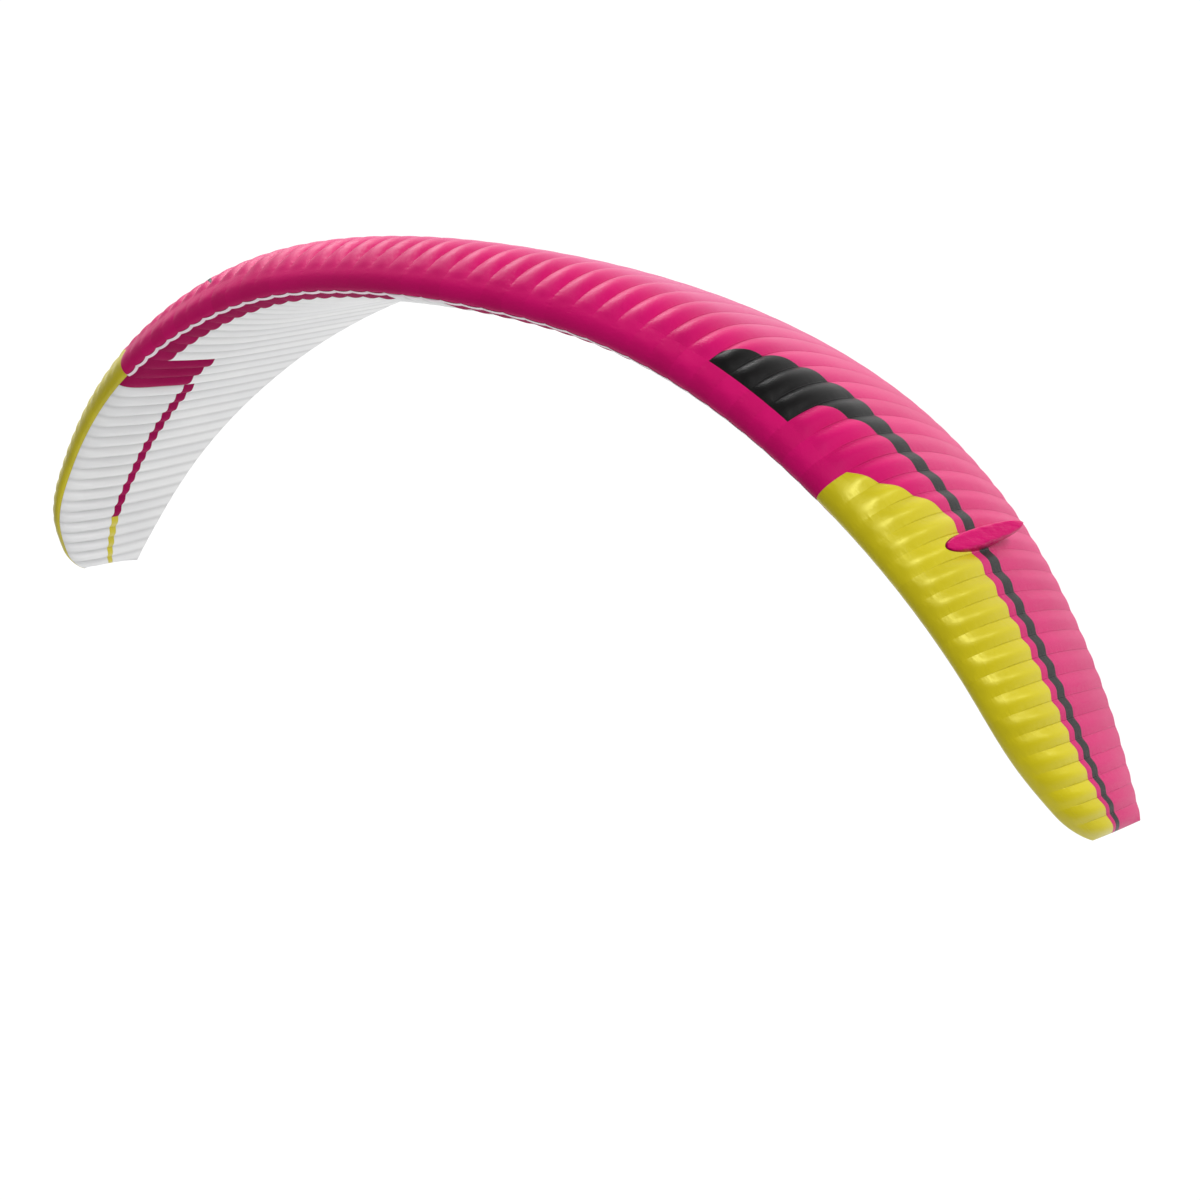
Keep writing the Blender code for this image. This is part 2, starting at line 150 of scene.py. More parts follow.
def seam_skin(cells, around):
    """The smooth skin through the seams, before the cells bulge."""
    cells, around = np.broadcast_arrays(np.asarray(cells, float), np.asarray(around, float))
    side, share = np.where(cells < 0, -1.0, 1.0), share_of(cells)
    slope = np.radians(along_sections("slope", share))
    left = np.maximum(0, TIP - np.abs(cells))
    turn = TIP_CORNER_TURN * np.maximum(0, 1 - left / TIP_CORNER_CELLS)
    corner = TIP_CORNER * (1 - np.sqrt(1 - turn**2))
    chord = along_sections("chord", share) - corner
    back, camber, half = rib(around)
    closing = np.sqrt(1 - (1 - np.minimum(1, left / TIP_CELL_ROUNDING)) ** 2)
    height = (camber + half * closing) * chord + EDGE_HALF_HEIGHT * np.tanh(around / EDGE_REACH)
    pitch = PITCH_MIDDLE + PITCH_TIP_CHANGE * share**2
    set_back = along_sections("set_back", share) + corner
    y = set_back + back * chord * np.cos(pitch) + height * np.sin(pitch)
    rise = height * np.cos(pitch) - back * chord * np.sin(pitch)
    out = np.interp(share, arch_places, arch_out)
    up = np.interp(share, arch_places, arch_up)
    return np.stack((side * (out + rise * np.sin(slope)), y, up + rise * np.cos(slope)), -1)


def unit(v):
    return v / np.linalg.norm(v, axis=-1, keepdims=True)


CELL_STEP, ROUND_STEP = 0.02, 0.005  # short steps, to find the directions on the cloth


def cloth_lines(cells, around):
    """Three directions on the cloth: out along the span, round the rib, and out of the wing."""
    cells, around = np.broadcast_arrays(np.asarray(cells, float), np.asarray(around, float))
    to_right = seam_skin(np.minimum(TIP, cells + CELL_STEP), around)
    to_left = seam_skin(np.maximum(-TIP, cells - CELL_STEP), around)
    further_round = seam_skin(cells, np.minimum(1, around + ROUND_STEP))
    less_round = seam_skin(cells, np.maximum(-1, around - ROUND_STEP))
    span, chord = unit(to_right - to_left), unit(further_round - less_round)
    return span, chord, unit(np.cross(span, chord))


# How far a cell bulges, over its width: rows of (share of the chord, height) from the nose to the rear.
UPPER_FULLNESS = (
    (0.044, 0.0),
    (0.08, 0.125),
    (0.12, 0.185),
    (0.18, 0.200),
    (0.40, 0.090),
    (0.65, 0.030),
    (1.0, 0.012),
)
TIP_FULLNESS = (
    (0.002, 0.0),
    (0.02, 0.045),
    (0.05, 0.090),
    (0.10, 0.140),
    (0.18, 0.180),
    (0.40, 0.130),
    (0.65, 0.100),
    (1.0, 0.045),
)
LOWER_FULLNESS = (
    (0.015, 0.0),
    (0.04, 0.030),
    (0.10, 0.100),
    (0.25, 0.180),
    (0.60, 0.090),
    (0.85, 0.050),
    (1.0, 0.015),
)
TIP_CHANGE = ((15.0, 0.0), (26.0, 1.0))  # cells from the middle where the upper skin's rows change
OUTER_HUMP = ((0.0, 0.0), (0.010, 0.030), (0.034, 0.0))  # a small hump on the nose of the outer cells
HUMP_GROWS = ((6.0, 0.0), (14.0, 1.0))
INNER_START = ((0.018, 0.0), (0.048, 0.062), (0.085, 0.0))  # the inner cells bulge sooner, on the nose
START_FADES = ((8.0, 1.0), (13.0, 0.0))
TIP_SOFTNESS = 0.55  # share of the softer wave at the tips


def smooth_rows(rows, at):
    """A smooth curve through (place, value) rows, level at both ends."""
    places, values = np.array(rows).T
    rises = np.concatenate(([0], (values[2:] - values[:-2]) / (places[2:] - places[:-2]), [0]))
    at = np.clip(at, places[0], places[-1])
    k = np.clip(np.searchsorted(places, at) - 1, 0, len(places) - 2)
    step = places[k + 1] - places[k]
    t = (at - places[k]) / step
    return cubic(t, step, values[k], rises[k], values[k + 1], rises[k + 1])


def bulge(cells, around):
    """How far the cloth stands out of its seams."""
    share, out = around**2, np.abs(cells)
    tip = smooth_rows(TIP_CHANGE, out)
    upper = smooth_rows(UPPER_FULLNESS, share) * (1 - tip) + smooth_rows(TIP_FULLNESS, share) * tip
    upper = upper + smooth_rows(OUTER_HUMP, share) * smooth_rows(HUMP_GROWS, out) * (1 - tip)
    upper = upper + smooth_rows(INNER_START, share) * smooth_rows(START_FADES, out)
    full = np.where(around >= 0, upper, smooth_rows(LOWER_FULLNESS, share))
    within = np.minimum(out % 1.0, 1 - out % 1.0)
    # Towards the tips the cloth is less tight over its seams, so the waves there are softer.
    round_wave, soft_wave = 1 - (2 * within) ** 2, np.cos(np.pi * within) ** 2
    return cell_width(cells) * full * (round_wave + (soft_wave - round_wave) * TIP_SOFTNESS * tip)


# The origin is the middle of the front line row, on the crown of the middle cell.
LINE_ROW, CROWN_THERE = 0.10, 0.10  # share of the chord, and the crown's height over the cell's width
line_row = -math.sqrt(LINE_ROW)
ORIGIN = seam_skin(0, line_row) + cloth_lines(0, line_row)[2] * cell_width(0) * CROWN_THERE

rib_turns = np.linspace(0, 1, RIB_STEPS)
rib_back, rib_mid, rib_half = rib(rib_turns)
rib_length = np.concatenate(([0], np.cumsum(np.hypot(np.diff(rib_back), np.diff(rib_mid + rib_half)))))


def length_round(cells, around):
    """Metres of cloth from the nose to this place round the rib, less than 0 on the lower skin."""
    chord = along_sections("chord", share_of(cells))
    return np.copysign(np.interp(np.abs(around), rib_turns, rib_length) * chord, around)


def seam_line(share, below=False):
    """A seam along the span: a share of the chord, or rows of (cells from the middle, share)."""
    rows = np.array(share if isinstance(share, tuple) else ((0, share), (TIP, share)), float)
    return lambda cells: (-1 if below else 1) * np.sqrt(np.interp(np.abs(cells), rows[:, 0], rows[:, 1]))


def closed_mesh(name, outer, inner):
    """A closed mesh of two grids of points, one skin each, with walls round the rim. It comes with
    its faces."""
    rows, columns = outer.shape[0] - 1, outer.shape[1] - 1
    row_step = columns + 1
    count = (rows + 1) * row_step
    row, column = np.mgrid[0:rows, 0:columns]
    corner = (row * row_step + column).ravel()
    quads = np.stack((corner, corner + 1, corner + row_step + 1, corner + row_step), 1)
    rim = np.concatenate(
        (
            np.arange(columns),
            np.arange(rows) * row_step + columns,
            rows * row_step + np.arange(columns, 0, -1),
            np.arange(rows, 0, -1) * row_step,
        )
    )
    after = np.roll(rim, -1)
    walls = np.stack((rim + count, after + count, after, rim), 1)
    faces = np.concatenate((quads, quads[:, ::-1] + count, walls))
    mesh = bpy.data.meshes.new(name)
    mesh.vertices.add(2 * count)
    mesh.vertices.foreach_set("co", np.concatenate((outer.reshape(-1, 3), inner.reshape(-1, 3))).ravel())
    mesh.loops.add(faces.size)
    mesh.loops.foreach_set("vertex_index", faces.ravel())
    mesh.polygons.add(len(faces))
    mesh.polygons.foreach_set("loop_start", np.arange(len(faces)) * 4)
    mesh.update(calc_edges=True)
    mesh.validate()
    mesh.polygons.foreach_set("use_smooth", np.ones(len(faces), bool))
    return mesh, faces


def crease(mesh, at_seam, at_rim):
    """Sharp edges along the rib seams and round the rim. Each grid says which points lie there."""
    row_step = at_seam.shape[1]
    at_seam, at_rim = np.tile(at_seam.ravel(), 2), np.tile(at_rim.ravel(), 2)
    ends = np.empty(len(mesh.edges) * 2, int)
    mesh.edges.foreach_get("vertices", ends)
    ends = ends.reshape(-1, 2)
    along_rib = np.abs(ends[:, 0] - ends[:, 1]) == row_step
    sharp = (at_seam[ends].all(1) & along_rib) | at_rim[ends].all(1)
    mesh.attributes.new("sharp_edge", "BOOLEAN", "EDGE").data.foreach_set("value", sharp)


def mark(mesh, facts):
    """Keep facts about each point in the mesh, where the cloth's pattern finds them."""
    for fact, values in facts.items():
        values = np.resize(values, len(mesh.vertices)).astype(np.float32)
        mesh.attributes.new(fact, "FLOAT", "POINT").data.foreach_set("value", values)


def placed(name, data):
    """An object of this mesh, lamp or lens, in the scene."""
    thing = bpy.data.objects.new(name, data)
    bpy.context.scene.collection.objects.link(thing)
    return thing


# Painted sheen: the cloth is painted paler towards the rear, and most of all in the middle of the wing,
# in place of the room's pale reflection at grazing angles.
PAINTED_SHEEN_REAR = ((0.09, 0.0), (0.36, 1.0))  # over the share of the chord
PAINTED_SHEEN_MIDDLE = ((8.0, 1.0), (18.0, 0.2))  # over the cells from the middle
# The nose is smooth, so its seams don't show. They start to show on these shares of the chord.
SEAM_SHOWS, SEAM_SHOWS_BELOW = ((0.05, 0.0), (0.14, 1.0)), 0.01
ON_SEAM = 1e-6  # a point this near to a rib seam, in cells, lies on it


def sew_sheet(name, start, end, first, last, rows, stand=0.0, thick=CLOTH):
    """A thin sheet between two rib seams and two seams along the span, bulging in each cell. First
    and last are in the order of around, so the first seam of a lower panel is its rear one. Rows is
    how many strips of the mesh follow the span."""
    columns = int(round((end - start) * PER_CELL))
    cells = start + np.arange(columns + 1) / PER_CELL
    share = np.arange(rows + 1)[:, None] / rows
    around = first(cells) + (last(cells) - first(cells)) * share
    cells = np.broadcast_to(cells, around.shape)
    span, chord, out = cloth_lines(cells, around)
    outer = seam_skin(cells, around) + out * (bulge(cells, around) + stand)[..., None] - ORIGIN
    outer[:, 0] += span[:, 0] * GAP / 2
    outer[:, -1] -= span[:, -1] * GAP / 2
    outer[0] += chord[0] * GAP / 2
    outer[-1] -= chord[-1] * GAP / 2
    mesh, faces = closed_mesh(name, outer, outer - out * thick)

    # What the cloth's pattern needs to know at each point, and the cloth laid flat, in metres.
    round_rib = length_round(cells, around)
    from_seam = np.abs(np.abs(cells) % 1.0 - 0.5)
    shows_above = smooth_rows(SEAM_SHOWS, around**2)
    facts = {
        "to_seam": from_seam * cell_width(cells),
        "to_first": round_rib - round_rib[0],
        "to_last": round_rib[-1] - round_rib,
        "cell": cells,
        # The share of painted sheen at each point: more towards the rear and in the middle.
        "thinness": smooth_rows(PAINTED_SHEEN_REAR, around**2) * smooth_rows(PAINTED_SHEEN_MIDDLE, np.abs(cells)),
        "seam_shows": np.where(around > 0, shows_above, around**2 > SEAM_SHOWS_BELOW),
    }
    mark(mesh, facts)
    metres = np.stack((np.sign(cells) * share_of(cells) * HALF_SPAN, round_rib), -1).reshape(-1, 2)
    uv = mesh.uv_layers.new(name="metres")
    uv.data.foreach_set("uv", np.tile(metres, (2, 1))[faces.ravel()].ravel())

    at_rim = np.zeros(cells.shape, bool)
    at_rim[[0, -1]] = at_rim[:, [0, -1]] = True
    crease(mesh, from_seam < ON_SEAM, at_rim)
    return placed(name, mesh)


MEASURES = 200  # places along the span where a panel's length is taken


def sew_panel(name, start, end, first, last, rows, cloth):
    """One panel group as a sheet that stands for the CAD node of the same name."""
    piece = sew_sheet(f"{name}_sewn", start, end, first, last, rows)
    cells = np.linspace(start, end, MEASURES)
    length = length_round(cells, last(cells)) - length_round(cells, first(cells))
    piece.data.materials.append(cloth)
    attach(piece, "root")
    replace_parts(piece, name)


def sew_both_sides(name, start, end, first, last, rows, cloth):
    sew_panel(f"{name}_right", start, end, first, last, rows, cloth)
    sew_panel(f"{name}_left", -end, -start, first, last, rows, cloth)


def sew_tips(name, first, last, rows, cloth, start=TIP_START):
    """The inner and the outer panel group of both tips."""
    sew_both_sides(f"{name}_inner", start, TIP_MIDDLE, first, last, rows, cloth)
    sew_both_sides(f"{name}_outer", TIP_MIDDLE, TIP, first, last, rows, cloth)


def wired(material, kind, **settings):
    """A new node. Settings are properties, and inputs by their number as in_0, or by their name."""
    node = material.node_tree.nodes.new(kind)
    for key, value in settings.items():
        if key.startswith("in_"):
            part = key[3:]
            socket = node.inputs[int(part) if part.isdigit() else part.replace("_", " ")]
            if isinstance(value, bpy.types.NodeSocket):
                material.node_tree.links.new(value, socket)
            else:
                socket.default_value = value
        else:
            setattr(node, key, value)
    return node


# The pattern's sizes, in metres.
RIPSTOP_SQUARE, RIPSTOP_THREAD = 0.005, 0.0005
# The second reach is how far the painted shade spreads from each rib seam.
PUCKER_REACH, PAINTED_SHADE_REACH = 0.055, 0.045  # from a rib seam
HALF_STITCH = 0.0022  # half the way from one stitch to the next
RIB_STITCHES, EDGE_STITCHES = 0.0055, 0.0045  # from a rib seam, and from a panel's front and rear
# Seams, and the painted shade beside them, are darkened towards this share of the cloth's deep colour.
SEAM_AND_PAINTED_SHADE = 0.35  # a seam's colour, over the cloth's deep one


def ripstop(
    name,
    colour,
    deep,
    light,
    shine,
    sheen,
    roughness,
    gloss=0.12,
    pucker=1.0,
    thread=0.12,
    thin=None,
    painted_shade_amount=0.0,
):
    """Coated ripstop: a fine square grid in a plain weave, soft puckers at the rib seams, two rows of
    stitches beside each seam, slow changes of tone, and a satin sheen from the coating. The painted
    sheen colour is what the cloth is painted towards the rear: a painted sheen that stands in for the
    room's reflection at grazing angles. The painted shade amount is how much painted shade darkens
    the cloth beside each rib seam, as in the valleys between the bulging cells."""
    material = bpy.data.materials.new(name)
    material.use_nodes = True
    shader = material.node_tree.nodes["Principled BSDF"]
    link = material.node_tree.links.new

    def make(kind, **settings):
        return wired(material, kind, **settings).outputs[0]

    def sums(operation, *values, clamp=False):
        inputs = {f"in_{i}": v for i, v in enumerate(values)}
        return make("ShaderNodeMath", operation=operation, use_clamp=clamp, **inputs)

    def ease(value, low, high):
        """1 up to low and 0 from high, with a soft change between."""
        ends = {"in_1": low, "in_2": high, "in_3": 1, "in_4": 0}
        return make("ShaderNodeMapRange", interpolation_type="SMOOTHSTEP", in_0=value, **ends)

    def fact(attribute):
        return wired(material, "ShaderNodeAttribute", attribute_name=attribute).outputs["Fac"]

    def dyed(share, under, over):
        """The colour under, changed by this share to the colour over."""
        colours = {"in_6": under, "in_7": over}
        return wired(material, "ShaderNodeMix", data_type="RGBA", in_0=share, **colours).outputs[2]

    metres = make("ShaderNodeUVMap", uv_map="metres")
    split = wired(material, "ShaderNodeSeparateXYZ", in_0=metres)
    out_span, round_rib = split.outputs[0], split.outputs[1]
    to_seam, seam_shows = fact("to_seam"), fact("seam_shows")
    to_edge = sums("MINIMUM", fact("to_first"), fact("to_last"))

    # The ripstop squares, and the weave's threads.
    def grid_lines(along):
        return ease(sums("PINGPONG", along, RIPSTOP_SQUARE / 2), RIPSTOP_THREAD * 0.4, RIPSTOP_THREAD)

    squares = sums("MAXIMUM", grid_lines(out_span), grid_lines(round_rib))
    weave = make("ShaderNodeTexNoise", in_0=metres, in_Scale=900.0, in_Detail=1.0)

    # Puckers run square to each rib seam and fade out over the cell. Slack is the cloth's own waviness.
    long_way, short_way = sums("MULTIPLY", out_span, 9.0), sums("MULTIPLY", round_rib, 30.0)
    stretch = make("ShaderNodeCombineXYZ", in_0=long_way, in_1=short_way)
    ripple = make("ShaderNodeTexNoise", in_0=stretch, in_Scale=1.0, in_Detail=2.0, in_Roughness=0.45)
    near = ease(to_seam, 0.0, PUCKER_REACH)
    puckers = sums("MULTIPLY", sums("SUBTRACT", ripple, 0.5), near)
    slack = make("ShaderNodeTexNoise", in_0=metres, in_Scale=2.6, in_Detail=3.0, in_Roughness=0.5)

    # The seams, and a row of stitches on both sides of each.
    seam = sums("MULTIPLY", ease(to_seam, 0.0010, 0.0035), seam_shows)
    edge_seam = sums("MULTIPLY", ease(to_edge, 0.0008, 0.0025), seam_shows)

    def stitch_row(along, away, place):
        """Stitches along a line that lies this far away from a seam."""
        stitch = ease(sums("PINGPONG", along, HALF_STITCH), 0.0012, 0.0016)
        row = ease(sums("ABSOLUTE", sums("SUBTRACT", away, place)), 0.0003, 0.0008)
        return sums("MULTIPLY", stitch, row)

    rib_row = stitch_row(round_rib, to_seam, RIB_STITCHES)
    edge_row = stitch_row(out_span, to_edge, EDGE_STITCHES)
    stitches = sums("MULTIPLY", sums("MAXIMUM", rib_row, edge_row), seam_shows)

    # Colour: slow fading over the wing, a shade of difference from cell to cell, and a painted sheen
    # that makes it paler at the rear.
    fading = make("ShaderNodeTexNoise", in_0=metres, in_Scale=0.9, in_Detail=4.0, in_Roughness=0.55)
    batch = make("ShaderNodeTexWhiteNoise", noise_dimensions="1D", in_W=sums("ROUND", fact("cell")))
    tone = sums("ADD", sums("MULTIPLY", fading, 0.75), sums("MULTIPLY", batch, 0.25))
    dye = dyed(ease(tone, 0.62, 0.38), (*deep, 1), (*colour, 1))
    # Painted sheen: paler towards the rear, in place of the room's reflection at grazing angles.
    if thin:
        dye = dyed(fact("thinness"), dye, (*thin, 1))
    dye = dyed(sums("MULTIPLY", squares, 0.03), dye, (*light, 1))

    # The seams are darker, and painted shade darkens the cloth beside them, as in the valleys between
    # the bulging cells. The thread is pale.
    lines = sums("MULTIPLY", sums("MAXIMUM", seam, edge_seam), thread)
    # Painted shade beside each rib seam.
    painted_shade_mask = sums("MULTIPLY", ease(to_seam, 0.0, PAINTED_SHADE_REACH), painted_shade_amount)
    dye = dyed(sums("MAXIMUM", lines, painted_shade_mask), dye, (*[c * SEAM_AND_PAINTED_SHADE for c in deep], 1))
    dye = dyed(sums("MULTIPLY", stitches, 0.15), dye, (*light, 1))
    link(dye, shader.inputs["Base Color"])

    # The weave and the slack make the coating a little rougher here and smoother there.
    worn = sums("ADD", sums("MULTIPLY", weave, 0.06), sums("MULTIPLY", slack, 0.10))
    link(sums("ADD", worn, roughness - 0.08, clamp=True), shader.inputs["Roughness"])
    shader.inputs["Sheen Weight"].default_value = sheen
    shader.inputs["Sheen Roughness"].default_value = 0.32
    shader.inputs["Sheen Tint"].default_value = (*light, 1)
    shader.inputs["Specular IOR Level"].default_value = gloss
    shader.inputs["Specular Tint"].default_value = (*shine, 1)

    # Relief in metres, each kind in a bump of its own.
    relief = None
    for height, distance in (
        (slack, 0.0035),
        (puckers, 0.004 * pucker),
        (seam, -0.0015),
        (edge_seam, -0.0008),
        (stitches, 0.0005),
        (squares, 0.00012),
        (weave, 0.00004),
    ):
        bump = wired(material, "ShaderNodeBump", invert=distance < 0, in_Strength=1.0, in_Height=height)
        bump.inputs["Distance"].default_value = abs(distance)
        if relief:
            link(relief, bump.inputs["Normal"])
        relief = bump.outputs[0]
    link(relief, shader.inputs["Normal"])
    return material


NOSE_ROWS = 20
nose_below = seam_line(0.015, below=True)
nose_top = seam_line(0.05)
pink = ripstop(
    "pink_ripstop",
    colour=(0.585, 0.0014, 0.130),
    deep=(0.535, 0.0012, 0.116),
    light=(0.95, 0.44, 0.58),
    shine=(1.0, 0.45, 0.62),
    sheen=0.20,
    roughness=0.42,
    gloss=0.08,
    thread=0.04,
    # Painted sheen towards the rear.
    thin=(0.585, 0.120, 0.250),
)
sew_panel("nose_middle", -MIDDLE_END, MIDDLE_END, nose_below, nose_top, NOSE_ROWS, pink)
for name, start, end in (("nose_inner", MIDDLE_END, BAND_START), ("nose_outer", BAND_START, TIP_START)):
    sew_both_sides(name, start, end, nose_below, nose_top, NOSE_ROWS, pink)


# ---- Leading edge, yellow
# Outboard of the twenty-first seam the nose is cut from yellow ripstop, out to the closed tip, where
# the two skins come together in a rounded end.

yellow = ripstop(
    "yellow_ripstop",
    colour=(0.600, 0.505, 0.003),
    deep=(0.550, 0.460, 0.002),
    light=(0.90, 0.84, 0.30),
    shine=(1.0, 0.96, 0.32),
    sheen=0.08,
    roughness=0.32,
    gloss=0.8,
    thread=0.08,
)
sew_tips("nose_tip", nose_below, nose_top, NOSE_ROWS, yellow)


# ---- Upper skin, yellow
# The yellow runs on over the bulging front of the tip cells and ends in a joint that swings back
# over the first cells and then follows the span.

yellow_top = seam_line(((TIP_START, 0.065), (21.5, 0.12), (23.5, 0.28), (TIP, 0.28)))
sew_tips("top_yellow", nose_top, yellow_top, 20, yellow)


# ---- Upper skin, dark
# A dark band starts at the nose joint and tapers out into a thin stripe, which runs on to the tip
# between pink panels. It is let into the skin, not sewn on top. On the left it starts further back.

BAND_TAPER, STRIPE_EVEN = 17.5, 22.5  # cells: the band is a stripe from here, and from here an even one
dark_rear = seam_line(((BAND_START, 0.10), (15.5, 0.26), (BAND_TAPER, 0.36), (STRIPE_EVEN, 0.41)))
dark_front = seam_line(
    ((BAND_START, 0.09), (14.5, 0.15), (BAND_TAPER, 0.16), (19.5, 0.28), (STRIPE_EVEN, 0.335))
)
dark = ripstop(
    "dark_ripstop",
    colour=(0.0026, 0.0022, 0.0023),
    deep=(0.0020, 0.0017, 0.0018),
    light=(0.60, 0.60, 0.60),
    shine=(1.0, 1.0, 1.0),
    sheen=0.05,
    roughness=0.34,
    gloss=0.07,
    thread=0.0,
    # Painted sheen: grey towards the rear.
    thin=(0.125, 0.123, 0.123),
)
sew_panel("band_top_right", BAND_START, BAND_TAPER, nose_top, dark_rear, 24, dark)
sew_panel("band_top_left", -BAND_TAPER, -BAND_START, dark_front, dark_rear, 16, dark)
sew_both_sides("stripe_top", BAND_TAPER, TIP, dark_front, dark_rear, 10, dark)


# ---- Upper skin, pink
# The rest of the upper skin. Every cell is a panel of its own from the nose joint to the trailing
# edge, held down at the ribs and blown up between them, so the skin is a row of long ridges.

rear_top = seam_line(1.0)
sew_panel("top_middle", -MIDDLE_END, MIDDLE_END, nose_top, rear_top, 44, pink)
sew_both_sides("top_inner", MIDDLE_END, BAND_START, nose_top, rear_top, 44, pink)
sew_panel("top_front_outer_right", BAND_TAPER, TIP_START, nose_top, dark_front, 20, pink)
sew_panel("top_front_outer_left", -TIP_START, -BAND_START, nose_top, dark_front, 20, pink)
sew_both_sides("top_rear_outer", BAND_START, TIP_START, dark_rear, rear_top, 36, pink)
sew_tips("top_strip", yellow_top, dark_front, 8, pink)
sew_tips("top_rear_tip", dark_rear, rear_top, 30, pink)


# ---- Lower skin, dark magenta
# A narrow band behind the nose seam, one short block a side where it ends, and a thin stripe that
# runs from the block out along the tip. Their edges follow the bulging cells, so they look scalloped.

FRONT_GAP_END, BAND_MIDDLE, BLOCK_START, BLOCK_END, STRIPE_CHANGE = 1.5, 10.5, 18.5, 21.5, 34.5
band_below = seam_line(((FRONT_GAP_END, 0.070), (BLOCK_START, 0.110)), below=True)
stripe_front = seam_line(((BLOCK_END, 0.36), (TIP_MIDDLE, 0.44), (TIP, 0.47)), below=True)
stripe_rear = seam_line(((BLOCK_END, 0.42), (TIP_MIDDLE, 0.50), (TIP, 0.54)), below=True)
magenta = ripstop(
    "magenta_ripstop",
    colour=(0.340, 0.0020, 0.078),
    deep=(0.300, 0.0016, 0.068),
    light=(0.70, 0.20, 0.40),
    shine=(1.0, 0.5, 0.6),
    sheen=0.0,
    roughness=0.60,
    gloss=0.03,
)
for name, start, end, first, last, rows in (
    ("band_below_inner", FRONT_GAP_END, BAND_MIDDLE, band_below, nose_below, 8),
    ("band_below_outer", BAND_MIDDLE, BLOCK_START, band_below, nose_below, 8),
    ("block_below", BLOCK_START, BLOCK_END, stripe_front, nose_below, 20),
    ("stripe_below", BLOCK_END, STRIPE_CHANGE, stripe_rear, stripe_front, 6),
):
    sew_both_sides(name, start, end, first, last, rows, magenta)


# ---- Lower skin, yellow
# The last five cells of the thin stripe on the lower skin change to yellow, in the same ripstop as
# the yellow nose.

sew_both_sides(
    "stripe_below_tip", STRIPE_CHANGE, TIP, stripe_rear, stripe_front, 6, yellow
)


# ---- Lower skin, white
# The rest of the lower skin, in lighter cloth with less coating. It bulges less than the upper skin,
# and the shade between its ridges is soft, with painted shade added beside each seam.

rear_below = seam_line(1.0, below=True)
white = ripstop(
    "white_ripstop",
    colour=(0.84, 0.84, 0.84),
    deep=(0.80, 0.80, 0.805),
    light=(0.88, 0.88, 0.88),
    shine=(1.0, 1.0, 1.0),
    sheen=0.02,
    roughness=0.55,
    thread=0.25,
    # Painted shade beside each rib seam.
    painted_shade_amount=0.24,
)
sew_panel(
    "below_front_middle", -FRONT_GAP_END, FRONT_GAP_END, band_below, nose_below, 8, white
)
sew_panel("below_middle", -MIDDLE_END, MIDDLE_END, rear_below, band_below, 40, white)
for name, start, end, last, rows in (
    ("below_inner", MIDDLE_END, BAND_START, band_below, 40),
    ("below_outer", BAND_START, BLOCK_START, band_below, 40),
    ("below_behind_block", BLOCK_START, BLOCK_END, stripe_front, 24),
):
    sew_both_sides(name, start, end, rear_below, last, rows, white)
sew_tips("below_front", stripe_front, nose_below, 24, white, start=BLOCK_END)
sew_tips("below_rear", rear_below, stripe_rear, 24, white, start=BLOCK_END)


# ---- Lower nose tape
# A pale tape, about four centimetres wide, is sewn over the joint between the pink nose and the
# lower skin. It shows as a thin bright line with a small wave in every cell.

TAPE_FRONT, TAPE_REAR, TAPE_WAVE = 0.0110, 0.0220, 0.006  # shares of the chord
TAPE_STAND, TAPE_THICKNESS = 0.003, 0.0012
TAPE_ROWS, TAPE_MEASURES = 4, 100
tape_cloth = ripstop(
    "pale_tape",
    colour=(0.96, 0.84, 0.90),
    deep=(0.94, 0.80, 0.87),
    light=(0.95, 0.90, 0.92),
    shine=(1.0, 1.0, 1.0),
    sheen=0.0,
    roughness=0.5,
    thread=0.0,
)


def waving_line(share):
    """A line on the lower skin that runs further back in the middle of each cell."""

    def line(cells):
        from_seam = np.abs(np.abs(cells) % 1.0 - 0.5)
        return -np.sqrt(share + TAPE_WAVE * (1 - (2 * from_seam - 1) ** 2))

    return line


tape_rear, tape_front = waving_line(TAPE_REAR), waving_line(TAPE_FRONT)
for side, start, end in (
    ("middle", -BAND_START, BAND_START),
    ("right", BAND_START, TIP_START),
    ("left", -TIP_START, -BAND_START),
):
    seams = (start, end, tape_rear, tape_front)
    tape = sew_sheet(f"nose_tape_{side}", *seams, TAPE_ROWS, stand=TAPE_STAND, thick=TAPE_THICKNESS)
    tape.data.materials.append(tape_cloth)
    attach(tape, "root")
    cells = np.linspace(start, end, TAPE_MEASURES)
    wide = length_round(cells, tape_front(cells)) - length_round(cells, tape_rear(cells))


# ---- Fins
# A small inflated blade stands on the crown of a cell on each side and leans far back. It is sewn
# from two leaf-shaped cloths along its front and rear edges and filled from the wing.

FIN_CELL = 25.0  # cells from the middle
FIN_HEIGHT, FIN_THICKNESS, FIN_SWEEP, FIN_TIP_LENGTH = 0.19, 0.13, 0.70, 0.04
FIN_WIDEST = 0.38  # of its length from the front
FIN_ROOT = (0.16, 0.57)  # shares of the chord
FIN_LIFT = 0.0012  # over the crown of the cell
FIN_LEAN, FIN_SHORTENING, FIN_THINNING = 1.15, 1.4, 0.97  # how its form changes as it rises
FIN_LEVELS, FIN_STATIONS = 14, 28
fin_cloth = ripstop(
    "fin_ripstop",
    colour=(0.560, 0.0012, 0.124),
    deep=(0.480, 0.0010, 0.100),
    light=(0.85, 0.20, 0.40),
    shine=(1.0, 0.3, 0.5),
    sheen=0.03,
    roughness=0.34,
    gloss=0.16,
    pucker=4.0,
)


